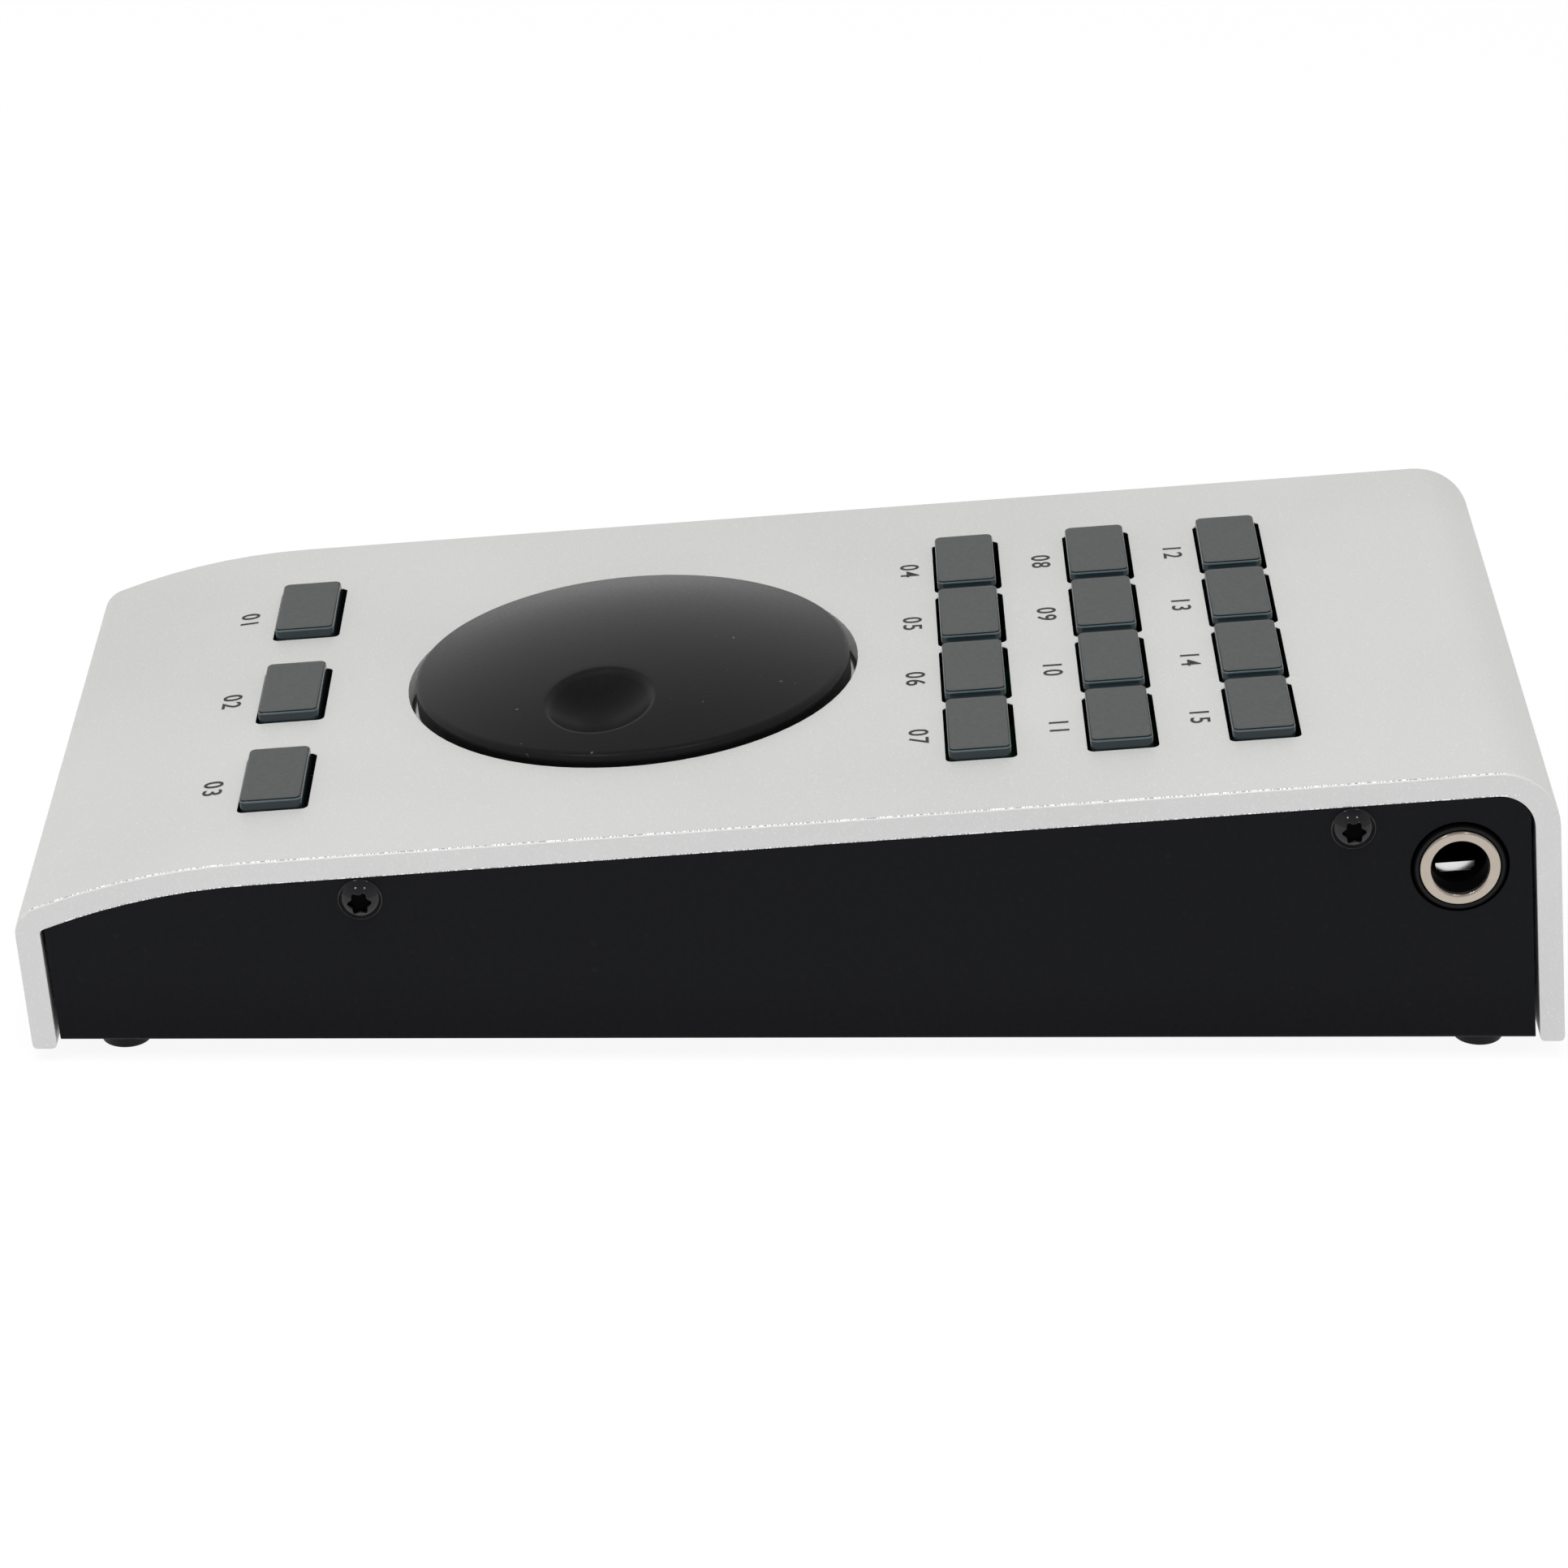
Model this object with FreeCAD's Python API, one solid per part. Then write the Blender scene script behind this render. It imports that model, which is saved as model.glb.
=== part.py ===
import FreeCAD, Part
import math
import os
from FreeCAD import Vector, Placement, Rotation

os.makedirs("parts", exist_ok=True)

# Studio monitor controller, millimetres.
# Row frame: X to the user's right, Y to the rear, Z up, origin under the middle on the table.
# Most pieces are drawn on the sloping plate: X, v up the slope, n out of the plate's top face.

# Driving sizes of the case
WIDTH = 89.72
COVER_T = 2.8
SLOPE_DEG = 4.42
PLATE_Y = -1.28
PLATE_Z = 29.82
FOOT_H = 2.78

# Cover profile on the plate's axes
FRONT_V = -86.75
FRONT_LEG_N = -21.4
REAR_V = 86.2
REAR_LEG_N = -34.1
CURVE_V = -60.0
CURVE_R = 80.0
FRONT_R = 3.5
REAR_R = 7.0
EDGE_R = 0.6
EDGE_BREAK = 0.2

# Base tray
TRAY_T = 1.2
TRAY_INSET = 0.15
LEG_GAP = 0.5
PLATE_GAP = 0.15
TRAY_BEND_R = 0.5

# Keys: v of each row, then the X of each key in it
KEY_PITCH = 16.006
KEY_V = [54.81, 38.73, 22.66]
FRONT_KEY_V = -58.07
FRONT_KEY_PITCH = 24.08
KEY_CENTRE_X = 0.3
HOLE_X = 14.75
HOLE_V = 8.15
HOLE_R = 0.8
KEY_GAP_X = 0.3
KEY_GAP_V = 0.52
KEY_SHIFT_V = -0.13
KEY_PROUD = 1.3
KEY_CORNER_R = 0.7
KEY_TOP_BREAK = 0.25
FLANGE_RIM = 0.45
FLANGE_GAP = 0.06
FLANGE_T = 0.8
POST = 3.6
POST_END_N = -9.5
KEY_TRAVEL = 1.2

# Dial
DIAL_V = -17.69
DIAL_R = 25.41
DIAL_GAP = 1.33
DIAL_RIM_N = 1.15
DIAL_DOME = 4.0
DIAL_EDGE_R = 1.1
DIAL_WALL = 2.4
DIAL_CEILING_N = -0.9
DIAL_SKIRT_N = -2.3
DIMPLE_R = 6.35
DIMPLE_DEPTH = 2.5
DIMPLE_X = 15.3
DIMPLE_V = -3.2
WELL_LEDGE = 4.5
WELL_RIM = 3.3
WELL_T = 1.2
HUB_PLATE_R = 13.0
HUB_PLATE_T = 1.6
HUB_R = 5.5
HUB_END_N = -7.6
HUB_SCREW_COUNT = 3
HUB_SCREW_PCR = 9.5
HUB_SCREW_R = 1.0
HUB_SCREW_HEAD_R = 1.9
HUB_SCREW_HEAD_T = 1.1
HUB_SCREW_LEN = 1.8
SHAFT_R = 3.0
SHAFT_FLAT = 2.25
SHAFT_TOP_N = -1.2
SHAFT_GAP = 0.05

# Board and what stands on it
BOARD_TOP_N = -17.6
BOARD_T = 1.6
BOARD_EDGE_GAP = 1.9
BOARD_FRONT_V = -66.0
BOARD_REAR_V = 82.2
PILLAR_INSET = 4.6
PILLAR_V = [-36.0, 5.0, 46.5]
PILLAR_R = 2.5
PILLAR_BORE_R = 1.25
BOARD_SCREW_R = 1.1
BOARD_SCREW_LEN = 6.0
BOARD_SCREW_HEAD_R = 2.2
BOARD_SCREW_HEAD_T = 1.4
SWITCH = 6.2
SWITCH_H = 5.0
PLUNGER = 3.2
PLUNGER_GAP = 0.15
POCKET_DEPTH = 2.6
PLUNGER_DEPTH = 1.0
LAMP_X = 5.0
LAMP_L = 1.6
LAMP_W = 3.2
LAMP_H = 1.2
ENCODER = 13.0
ENCODER_H = 6.0
BUSHING_R = 4.6
BUSHING_H = 2.8
BUSHING_GAP = 0.06
SHAFT_START_GAP = 0.3
CHIP = 10.0
CHIP_H = 1.4
CHIP_INSET = 19.6
CHIP_V = 6.0
CLOCK_SIZE = (3.2, 5.0, 1.1)
CLOCK_STEP = 9.0
CAPACITOR_SIZE = (3.5, 2.8, 1.9)
CAPACITOR_INSETS = [18.6, 12.6]
CAPACITOR_V = 3.0
DRIVER_SIZE = (6.0, 5.0, 1.6)
DRIVER_INSET = 15.6
DRIVER_V = 9.0

# Side screws and the blocks they bite
SCREW_V = [-47.7, 63.2]
SCREW_N = -5.5
SCREW_HEAD_R = 2.5
SCREW_HEAD_T = 1.5
SCREW_R = 1.1
SCREW_LEN = 6.0
SCREW_HOLE_R = 1.5
BLOCK_L = 8.0
BLOCK_W = 7.0
BLOCK_BOTTOM_N = -8.8
BLOCK_BORE_R = 1.25

# Feet
FOOT_INSET = 6.3
FOOT_Y = [-76.2, 78.2]
FOOT_TOP_R = 3.1
FOOT_BOTTOM_R = 2.8
FOOT_RIM_R = 0.3

# Footswitch jack in the right panel
JACK_V = 74.9
JACK_N = -11.2
JACK_BORE_R = 3.25
JACK_INNER_R = 3.5
JACK_NOSE_R = 5.15
JACK_HOLE_R = 5.55
JACK_PROUD = 0.3
FERRULE_R = 4.55
FERRULE_L = 3.2
FERRULE_PROUD = 0.25
FERRULE_GAP = 0.1
JACK_HALF = 6.4
JACK_HALF_V = 7.2
JACK_DEPTH = 30.0
JACK_BACK = 1.6
LEAF_START = 5.9
LEAF_L = 9.0
LEAF_W = 4.4
LEAF_T = 0.4
LEAF_RISE = 1.05
LEAF_FACE = 1.3
LEAF_LEAN = 0.3
LEAF_CREST = 2.5
LEAF_TAIL = 7.0
SLOT_GAP = 0.3

# Computer socket in the rear leg
SOCKET_X = -20.0
SOCKET_W = 12.0
SOCKET_H = 10.8
SOCKET_L = 16.0
SOCKET_WALL = 0.5
SOCKET_OPENING_W = 8.6
SOCKET_OPENING_H = 7.9
SOCKET_BACK = 4.0
SOCKET_RECESS = 0.4
WINDOW_GAP = 0.35
TONGUE_W = 5.6
TONGUE_H = 3.2
TONGUE_L = 9.0

HALF = WIDTH / 2
PANEL_X = HALF - TRAY_INSET
PANEL_IN_X = PANEL_X - TRAY_T
TRAY_Z = FOOT_H
KEY_X = HOLE_X - 2 * KEY_GAP_X
KEY_W = HOLE_V - 2 * KEY_GAP_V
DIAL_HOLE_R = DIAL_R + DIAL_GAP
BOARD_X = PANEL_IN_X - BOARD_EDGE_GAP
PILLAR_X = BOARD_X - PILLAR_INSET
FOOT_X = HALF - FOOT_INSET
SLOPE = math.radians(SLOPE_DEG)
TILT = Placement(Vector(0, PLATE_Y, PLATE_Z), Rotation(Vector(1, 0, 0), SLOPE_DEG))
OUT = Vector(0, 0, 1)
RIGHT = Vector(1, 0, 0)


def tilted(shape):
    """Move a shape drawn on the plate's axes into the row frame."""
    placed = shape.copy()
    placed.Placement = TILT.multiply(placed.Placement)
    return placed


def save(name, solids):
    """Write one node, drawn in the row frame, as a STEP of separate solids."""
    shape = solids[0] if len(solids) == 1 else Part.makeCompound(solids)
    shape.exportStep("parts/%s.step" % name)


def save_tilted(name, solids):
    save(name, [tilted(s) for s in solids])


def block(x, v, size_x, size_v, low, high):
    """A box centred on x, v and running from low to high along n."""
    corner = Vector(x - size_x / 2, v - size_v / 2, low)
    return Part.makeBox(size_x, size_v, high - low, corner)


def rod(x, v, radius, low, high):
    return Part.makeCylinder(radius, high - low, Vector(x, v, low), OUT)


def cross_rod(start_x, end_x, v, n, radius):
    """A round bar along X."""
    axis = RIGHT if end_x > start_x else -RIGHT
    return Part.makeCylinder(radius, abs(end_x - start_x), Vector(start_x, v, n), axis)


def along(shape, axis):
    """The straight edges of a shape that run along an axis."""
    found = []
    for edge in shape.Edges:
        if isinstance(edge.Curve, Part.Line) and edge.Curve.Direction.cross(axis).Length < 1e-6:
            found.append(edge)
    return found


def rounded_block(x, v, size_x, size_v, low, high, radius):
    body = block(x, v, size_x, size_v, low, high)
    return body.makeFillet(radius, along(body, OUT))


def flatted_rod(grow, low, high):
    """The flatted end of the encoder shaft, or the bore it sits in when grown."""
    bar = rod(0, DIAL_V, SHAFT_R + grow, low, high)
    flat_v = DIAL_V + SHAFT_FLAT + grow
    return bar.cut(block(0, flat_v + SHAFT_R, 4 * SHAFT_R, 2 * SHAFT_R, low - 1, high + 1))


def key_places():
    """X and v of the fifteen keys, front row first."""
    places = [(KEY_CENTRE_X + i * FRONT_KEY_PITCH, FRONT_KEY_V) for i in (-1, 0, 1)]
    for row in reversed(KEY_V):
        places += [(KEY_CENTRE_X + (i - 1.5) * KEY_PITCH, row) for i in range(4)]
    return places


def profile(inset, half_width, leg_gap=0.0, low=None):
    """The region inside the cover's outline, drawn in by inset, as a bar along X."""
    side = inset + leg_gap
    front, rear = FRONT_V + side, REAR_V - side
    r_front = FRONT_R - inset
    r_big = CURVE_R - inset
    c_front_v = FRONT_V + FRONT_R
    reach = CURVE_R - FRONT_R
    c_front_n = -CURVE_R + math.sqrt(reach ** 2 - (c_front_v - CURVE_V) ** 2)
    corner = Vector(0, c_front_v, c_front_n)
    big = Vector(0, CURVE_V, -CURVE_R)
    outward = (corner - big).normalize()
    touch = big + outward * r_big
    if leg_gap:
        drop = math.sqrt(r_big ** 2 - (front - CURVE_V) ** 2)
        first = Vector(0, front, -CURVE_R + drop)
        start = first
    else:
        first = corner + Vector(0, -r_front, 0)
        start = touch
    middle_angle = (math.atan2(start.z - big.z, start.y - big.y) + math.pi / 2) / 2
    middle = big + Vector(0, math.cos(middle_angle), math.sin(middle_angle)) * r_big
    flat = Vector(0, CURVE_V, -inset)
    r_rear = REAR_R - inset
    c_rear = Vector(0, REAR_V - REAR_R, -REAR_R)
    rear_end = Vector(0, rear, low if low is not None else REAR_LEG_N)
    front_end = Vector(0, front, low if low is not None else FRONT_LEG_N)
    edges = [Part.makeLine(front_end, first)]
    if not leg_gap:
        mid_dir = (outward + Vector(0, -1, 0)).normalize()
        edges.append(Part.Arc(first, corner + mid_dir * r_front, touch).toShape())
    edges.append(Part.Arc(start, middle, flat).toShape())
    diagonal = math.sqrt(0.5)
    rear_top = c_rear + Vector(0, 0, r_rear)
    edges.append(Part.makeLine(flat, rear_top))
    if leg_gap:
        rise = math.sqrt(r_rear ** 2 - (rear - c_rear.y) ** 2)
        rear_side = Vector(0, rear, c_rear.z + rise)
        half_angle = math.atan2(rise, rear - c_rear.y)
        turn = (half_angle + math.pi / 2) / 2
        rear_mid = c_rear + Vector(0, math.cos(turn), math.sin(turn)) * r_rear
    else:
        rear_side = c_rear + Vector(0, r_rear, 0)
        rear_mid = c_rear + Vector(0, diagonal, diagonal) * r_rear
    edges.append(Part.Arc(rear_top, rear_mid, rear_side).toShape())
    edges.append(Part.makeLine(rear_side, rear_end))
    edges.append(Part.makeLine(rear_end, front_end))
    face = Part.Face(Part.Wire(edges))
    bar = face.extrude(Vector(2 * half_width, 0, 0))
    bar.translate(Vector(-half_width, 0, 0))
    return bar


# Top cover: one folded sheet with the key holes, the dial hole and the socket window
DEEP_N = -50.0
cover = profile(0.0, HALF)
side_edges = [e for e in cover.Edges if e.BoundBox.XLength < 0.01
              and not (isinstance(e.Curve, Part.Line) and e.CenterOfMass.z < REAR_LEG_N / 2
                       and e.BoundBox.YLength > HALF)]
cover = cover.makeChamfer(EDGE_BREAK, side_edges)
cover = cover.cut(profile(COVER_T, HALF + 1, low=DEEP_N))
leg_edges = [e for e in along(cover, RIGHT)
             if e.CenterOfMass.z < (FRONT_LEG_N if e.CenterOfMass.y < 0 else REAR_LEG_N) + EDGE_R]
cover = cover.makeFillet(EDGE_R, leg_edges)
for x, v in key_places():
    cover = cover.cut(rounded_block(x, v, HOLE_X, HOLE_V, -COVER_T - 1, 1, HOLE_R))
cover = cover.cut(rod(0, DIAL_V, DIAL_HOLE_R, -COVER_T - 1, 1))
socket_top = BOARD_TOP_N + SOCKET_H
window = Part.makeBox(SOCKET_W + 2 * WINDOW_GAP, 3 * COVER_T, SOCKET_H + 2 * WINDOW_GAP,
                      Vector(SOCKET_X - SOCKET_W / 2 - WINDOW_GAP, REAR_V - 2 * COVER_T,
                             BOARD_TOP_N - WINDOW_GAP))
cover = cover.cut(window)
save_tilted("top_cover", [cover])

# Base tray: floor and two side panels folded from one sheet
inside = tilted(profile(COVER_T + PLATE_GAP, PANEL_X + 1, leg_gap=LEG_GAP - PLATE_GAP, low=DEEP_N))
TRAY_TOP = 60.0
LENGTH = 240.0
outer = Part.makeBox(2 * PANEL_X, LENGTH, TRAY_TOP, Vector(-PANEL_X, -LENGTH / 2, TRAY_Z))
outer = outer.makeFillet(TRAY_BEND_R, [e for e in along(outer, Vector(0, 1, 0))
                                       if e.CenterOfMass.z < TRAY_Z + 1])
inner = Part.makeBox(2 * PANEL_IN_X, LENGTH + 2, TRAY_TOP,
                     Vector(-PANEL_IN_X, -LENGTH / 2 - 1, TRAY_Z + TRAY_T))
tray = outer.cut(inner).common(inside)
for side in (-1, 1):
    for v in SCREW_V:
        start = side * (PANEL_IN_X - 1)
        tray = tray.cut(tilted(cross_rod(start, side * (PANEL_X + 1), v, SCREW_N, SCREW_HOLE_R)))
tray = tray.cut(tilted(cross_rod(PANEL_IN_X - 1, PANEL_X + 1, JACK_V, JACK_N, JACK_HOLE_R)))
save("base_tray", [tray])

# Threaded blocks under the plate and the screws through the side panels
blocks = []
screws = []
for side in (-1, 1):
    for v in SCREW_V:
        body = block(side * (PANEL_IN_X - BLOCK_W / 2), v, BLOCK_W, BLOCK_L,
                     BLOCK_BOTTOM_N, -COVER_T)
        bore = cross_rod(side * (PANEL_IN_X + 1), side * (PANEL_IN_X - BLOCK_W - 1), v,
                         SCREW_N, BLOCK_BORE_R)
        blocks.append(body.cut(bore))
        ball_r = (SCREW_HEAD_R ** 2 + SCREW_HEAD_T ** 2) / (2 * SCREW_HEAD_T)
        ball = Part.makeSphere(ball_r, Vector(side * (PANEL_X + SCREW_HEAD_T - ball_r), v, SCREW_N))
        head = cross_rod(side * PANEL_X, side * (PANEL_X + SCREW_HEAD_T + 1), v, SCREW_N,
                         SCREW_HEAD_R).common(ball)
        shank = cross_rod(side * PANEL_X, side * (PANEL_X - TRAY_T - SCREW_LEN), v, SCREW_N, SCREW_R)
        screws.append(head.fuse(shank).removeSplitter())
save_tilted("cover_blocks", blocks)
save_tilted("side_screws", screws)

# Rubber feet under the tray
feet = []
for x in (-FOOT_X, FOOT_X):
    for y in FOOT_Y:
        foot = Part.makeCone(FOOT_BOTTOM_R, FOOT_TOP_R, FOOT_H, Vector(x, y, 0), OUT)
        rim = [e for e in foot.Edges if e.BoundBox.ZMax < 0.01 and e.Length > FOOT_BOTTOM_R]
        feet.append(foot.makeFillet(FOOT_RIM_R, rim))
save("rubber_feet", feet)

# Main board, hung from the plate on pillars
board_v = (BOARD_FRONT_V + BOARD_REAR_V) / 2
board_bottom = BOARD_TOP_N - BOARD_T
board = rounded_block(0, board_v, 2 * BOARD_X, BOARD_REAR_V - BOARD_FRONT_V, board_bottom,
                      BOARD_TOP_N, 2.0)
pillars = []
board_screws = []
for x in (-PILLAR_X, PILLAR_X):
    for v in PILLAR_V:
        board = board.cut(rod(x, v, PILLAR_BORE_R + 0.2, board_bottom - 1, BOARD_TOP_N + 1))
        pillar = rod(x, v, PILLAR_R, BOARD_TOP_N, -COVER_T)
        pillars.append(pillar.cut(rod(x, v, PILLAR_BORE_R, BOARD_TOP_N - 1, BOARD_TOP_N + 8)))
        head = rod(x, v, BOARD_SCREW_HEAD_R, board_bottom - BOARD_SCREW_HEAD_T, board_bottom)
        shank = rod(x, v, BOARD_SCREW_R, board_bottom, board_bottom + BOARD_SCREW_LEN)
        board_screws.append(head.fuse(shank).removeSplitter())
save_tilted("main_board", [board])
save_tilted("board_pillars", pillars)
save_tilted("board_screws", board_screws)

# Key switches, their lamps, and for each key a plunger and a cap
switch_top = BOARD_TOP_N + SWITCH_H
flange_top = -COVER_T - FLANGE_GAP
flange_low = flange_top - FLANGE_T
switches = []
lamps = []
for number, (x, v) in enumerate(key_places(), 1):
    body = block(x, v, SWITCH, SWITCH, BOARD_TOP_N, switch_top)
    well = PLUNGER + 2 * PLUNGER_GAP
    switches.append(body.cut(block(x, v, well, well, switch_top - POCKET_DEPTH, switch_top + 1)))
    lamps.append(block(x + LAMP_X, v, LAMP_L, LAMP_W, BOARD_TOP_N, BOARD_TOP_N + LAMP_H))
    plunger = block(x, v, PLUNGER, PLUNGER, switch_top - PLUNGER_DEPTH, POST_END_N)
    save_tilted("plunger_%02d" % number, [plunger])

    cap_v = v + KEY_SHIFT_V
    cap = rounded_block(x, cap_v, KEY_X, KEY_W, flange_low, KEY_PROUD, KEY_CORNER_R)
    rim = [e for e in cap.Edges if e.BoundBox.ZMin > KEY_PROUD - 0.01]
    cap = cap.makeChamfer(KEY_TOP_BREAK, rim)
    flange = block(x, v, HOLE_X + 2 * FLANGE_RIM, HOLE_V + 2 * FLANGE_RIM, flange_low, flange_top)
    post = block(x, v, POST, POST, POST_END_N, flange_low)
    cap = cap.fuse([flange, post])
    save_tilted("key_cap_%02d" % number, [cap])
save_tilted("key_switches", switches)
save_tilted("key_lamps", lamps)

# Dial: a domed shell with a finger dimple, a hub plate screwed under it, and the shaft
dome_r = DIAL_R ** 2 / (2 * DIAL_DOME) + DIAL_DOME / 2
dome_n = DIAL_RIM_N + DIAL_DOME - dome_r
dome = Part.makeSphere(dome_r, Vector(0, DIAL_V, dome_n))
dial = rod(0, DIAL_V, DIAL_R, DIAL_SKIRT_N, DIAL_RIM_N + DIAL_DOME + 1).common(dome)
rim = [e for e in dial.Edges if abs(e.BoundBox.ZMin - DIAL_RIM_N) < 0.05
       and e.BoundBox.XLength > DIAL_R]
dial = dial.makeFillet(DIAL_EDGE_R, rim)
dial = dial.cut(rod(0, DIAL_V, DIAL_R - DIAL_WALL, DIAL_SKIRT_N - 1, DIAL_CEILING_N))
lean = math.asin(math.hypot(DIMPLE_X, DIMPLE_V) / dome_r)
ball_r = (DIMPLE_R ** 2 + DIMPLE_DEPTH ** 2) / (2 * DIMPLE_DEPTH)
toward = math.atan2(DIMPLE_V, DIMPLE_X)
normal = Vector(math.sin(lean) * math.cos(toward), math.sin(lean) * math.sin(toward),
                math.cos(lean))
ball_centre = Vector(0, DIAL_V, dome_n) + normal * (dome_r - DIMPLE_DEPTH + ball_r)
dial = dial.cut(Part.makeSphere(ball_r, ball_centre))
hub_plate_low = DIAL_CEILING_N - HUB_PLATE_T
hub = rod(0, DIAL_V, HUB_PLATE_R, hub_plate_low, DIAL_CEILING_N)
hub = hub.fuse(rod(0, DIAL_V, HUB_R, HUB_END_N, DIAL_CEILING_N)).removeSplitter()
shaft_start = BOARD_TOP_N + ENCODER_H + SHAFT_START_GAP
shaft = rod(0, DIAL_V, SHAFT_R, shaft_start, HUB_END_N - SHAFT_GAP)
shaft = shaft.fuse(flatted_rod(0.0, HUB_END_N - SHAFT_GAP, SHAFT_TOP_N)).removeSplitter()
hub = hub.cut(flatted_rod(SHAFT_GAP, HUB_END_N - 1, SHAFT_TOP_N + SHAFT_GAP))
hub_screws = []
for i in range(HUB_SCREW_COUNT):
    angle = 2 * math.pi * i / HUB_SCREW_COUNT + math.pi / 2
    x, v = HUB_SCREW_PCR * math.cos(angle), DIAL_V + HUB_SCREW_PCR * math.sin(angle)
    hub = hub.cut(rod(x, v, HUB_SCREW_R + 0.2, hub_plate_low - 1, DIAL_CEILING_N + 1))
    dial = dial.cut(rod(x, v, HUB_SCREW_R + 0.1, DIAL_CEILING_N - 1,
                        DIAL_CEILING_N + HUB_SCREW_LEN))
    head = rod(x, v, HUB_SCREW_HEAD_R, hub_plate_low - HUB_SCREW_HEAD_T, hub_plate_low)
    shank = rod(x, v, HUB_SCREW_R, hub_plate_low, DIAL_CEILING_N + HUB_SCREW_LEN - 0.3)
    hub_screws.append(head.fuse(shank).removeSplitter())
save_tilted("dial", [dial])
well = rod(0, DIAL_V, DIAL_HOLE_R + WELL_RIM, -COVER_T - WELL_T, -COVER_T)
well = well.cut(rod(0, DIAL_V, DIAL_R - WELL_LEDGE, -COVER_T - WELL_T - 1, 0))
save_tilted("dial_well", [well])
save_tilted("dial_hub", [hub])
save_tilted("dial_hub_screws", hub_screws)
save_tilted("encoder_shaft", [shaft])

# Encoder on the board
encoder_top = BOARD_TOP_N + ENCODER_H
encoder = rounded_block(0, DIAL_V, ENCODER, ENCODER, BOARD_TOP_N, encoder_top, 1.0)
bushing = rod(0, DIAL_V, BUSHING_R, encoder_top, encoder_top + BUSHING_H)
bushing = bushing.cut(rod(0, DIAL_V, SHAFT_R + BUSHING_GAP, encoder_top - 1,
                          encoder_top + BUSHING_H + 1))
save_tilted("encoder_body", [encoder])
save_tilted("encoder_bushing", [bushing])

# Control chip and the small parts beside it
chip_x = BOARD_X - CHIP_INSET
save_tilted("control_chip", [block(chip_x, CHIP_V, CHIP, CHIP, BOARD_TOP_N, BOARD_TOP_N + CHIP_H)])
small = []
for size, x, v in [(CLOCK_SIZE, chip_x + CLOCK_STEP, CHIP_V),
                   (DRIVER_SIZE, DRIVER_INSET - BOARD_X, DRIVER_V),
                   (CAPACITOR_SIZE, CAPACITOR_INSETS[0] - BOARD_X, CAPACITOR_V),
                   (CAPACITOR_SIZE, CAPACITOR_INSETS[1] - BOARD_X, CAPACITOR_V)]:
    small.append(block(x, v, size[0], size[1], BOARD_TOP_N, BOARD_TOP_N + size[2]))
save_tilted("board_parts", small)

# Footswitch jack: housing with a nose, ferrule and contact leaf
nose_x = PANEL_X + JACK_PROUD
jack = Part.makeBox(JACK_DEPTH, 2 * JACK_HALF_V, 2 * JACK_HALF,
                    Vector(PANEL_IN_X - JACK_DEPTH, JACK_V - JACK_HALF_V, JACK_N - JACK_HALF))
jack = jack.fuse(cross_rod(PANEL_IN_X - 1, nose_x, JACK_V, JACK_N, JACK_NOSE_R)).removeSplitter()
jack = jack.cut(cross_rod(PANEL_IN_X - JACK_DEPTH + JACK_BACK, nose_x + 1, JACK_V, JACK_N,
                          JACK_INNER_R))
face_x = nose_x + FERRULE_PROUD
jack = jack.cut(cross_rod(face_x - FERRULE_L, nose_x + 1, JACK_V, JACK_N,
                          FERRULE_R + FERRULE_GAP))
leaf_x = face_x - LEAF_START
leaf_low = JACK_N - JACK_HALF
slot_x = leaf_x - LEAF_TAIL - LEAF_L
slot = Part.makeBox(LEAF_TAIL + LEAF_L + SLOT_GAP, LEAF_W + 2 * SLOT_GAP, JACK_HALF,
                    Vector(slot_x, JACK_V - LEAF_W / 2 - SLOT_GAP, leaf_low + LEAF_T))
jack = jack.cut(slot)
ferrule = cross_rod(face_x - FERRULE_L, face_x, JACK_V, JACK_N, FERRULE_R)
lip = [e for e in ferrule.Edges if e.BoundBox.XMin > face_x - 0.01 and e.Length > FERRULE_R]
ferrule = ferrule.makeChamfer(0.3, lip)
ferrule = ferrule.cut(cross_rod(face_x - FERRULE_L - 1, face_x + 1, JACK_V, JACK_N, JACK_BORE_R))
leaf_top = JACK_N - JACK_BORE_R + LEAF_RISE
crest_x = leaf_x - LEAF_CREST
bend_x = leaf_x - LEAF_L
tail_x = slot_x + SLOT_GAP
points = [(leaf_x, leaf_top - LEAF_FACE), (leaf_x - LEAF_LEAN, leaf_top), (crest_x, leaf_top),
          (bend_x, leaf_low + 3 * LEAF_T), (tail_x, leaf_low + 3 * LEAF_T),
          (tail_x, leaf_low + LEAF_T), (bend_x - LEAF_T, leaf_low + LEAF_T),
          (crest_x, leaf_top - LEAF_T), (leaf_x - LEAF_LEAN - LEAF_T, leaf_top - LEAF_T),
          (leaf_x - LEAF_T, leaf_top - LEAF_FACE)]
outline = [Vector(x, JACK_V - LEAF_W / 2, n) for x, n in points]
leaf = Part.Face(Part.makePolygon(outline + outline[:1])).extrude(Vector(0, LEAF_W, 0))
save_tilted("jack_housing", [jack])
save_tilted("jack_ferrule", [ferrule])
save_tilted("jack_contact", [leaf])

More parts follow.
